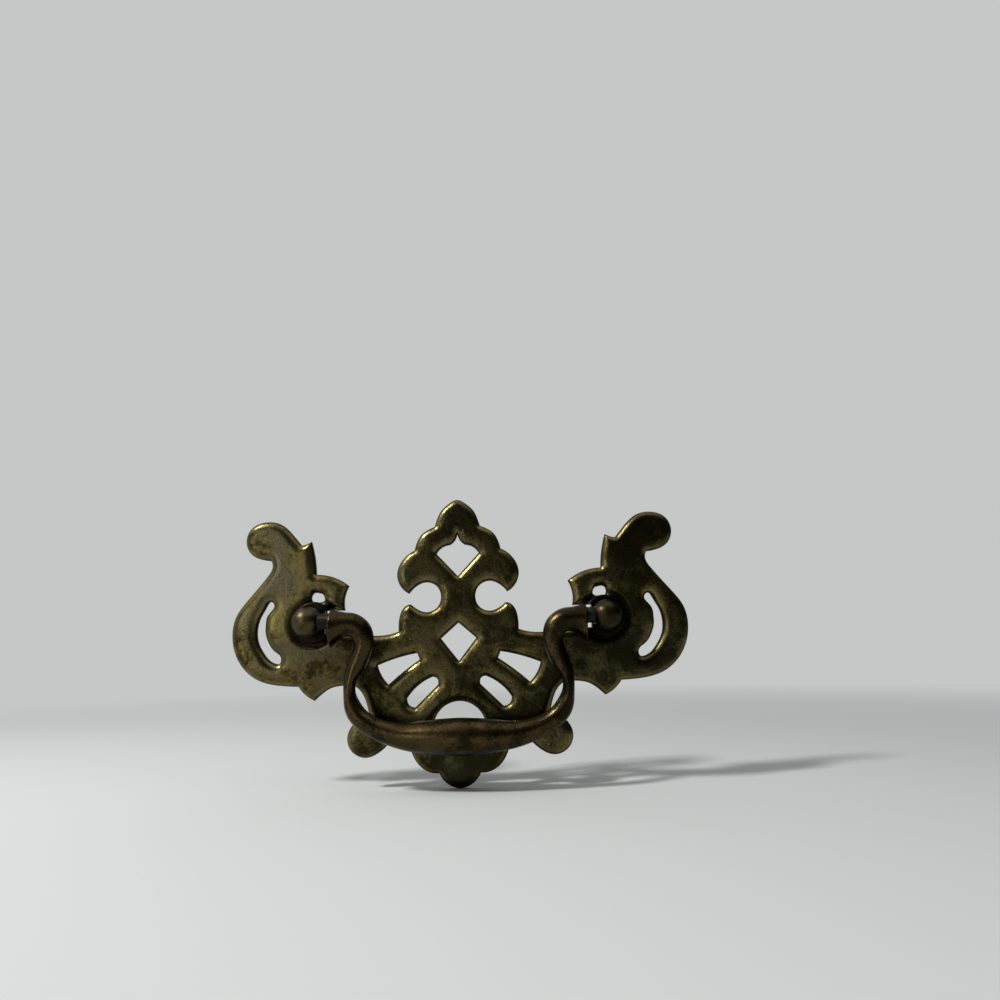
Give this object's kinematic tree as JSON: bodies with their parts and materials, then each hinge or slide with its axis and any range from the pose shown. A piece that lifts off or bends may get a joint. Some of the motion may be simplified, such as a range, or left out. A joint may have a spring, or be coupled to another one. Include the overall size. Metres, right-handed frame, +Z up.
{
  "type": "bail pull",
  "caption": "Pierced brass drawer pull in a Chippendale style: a scrolled openwork backplate, two round-headed posts and a swinging drop bail.",
  "frame": {"origin": "midway between the two posts' screw holes, on the flat back of the plate", "axes": "+X to the right along the line of the posts, +Z up as mounted, the front faces -Y"},
  "size_m": [0.1096, 0.0114, 0.0678],
  "materials": {
    "aged_brass": "antique, satin",
    "handled_brass": "antique, satin",
    "pin_steel": "satin"
  },
  "bodies": {
    "plate": {"back_plate": "aged_brass", "left_post": "aged_brass", "right_post": "aged_brass"},
    "bail": {"bail": "handled_brass", "left_pin": "pin_steel", "right_pin": "pin_steel"}
  },
  "joints": [
    {"name": "bail_swing", "type": "hinge", "parent": "plate", "child": "bail", "pos_m": [0, -0.00735, 0], "axis": [-1, 0, 0], "range_deg": [-2.5, 180]}
  ]
}
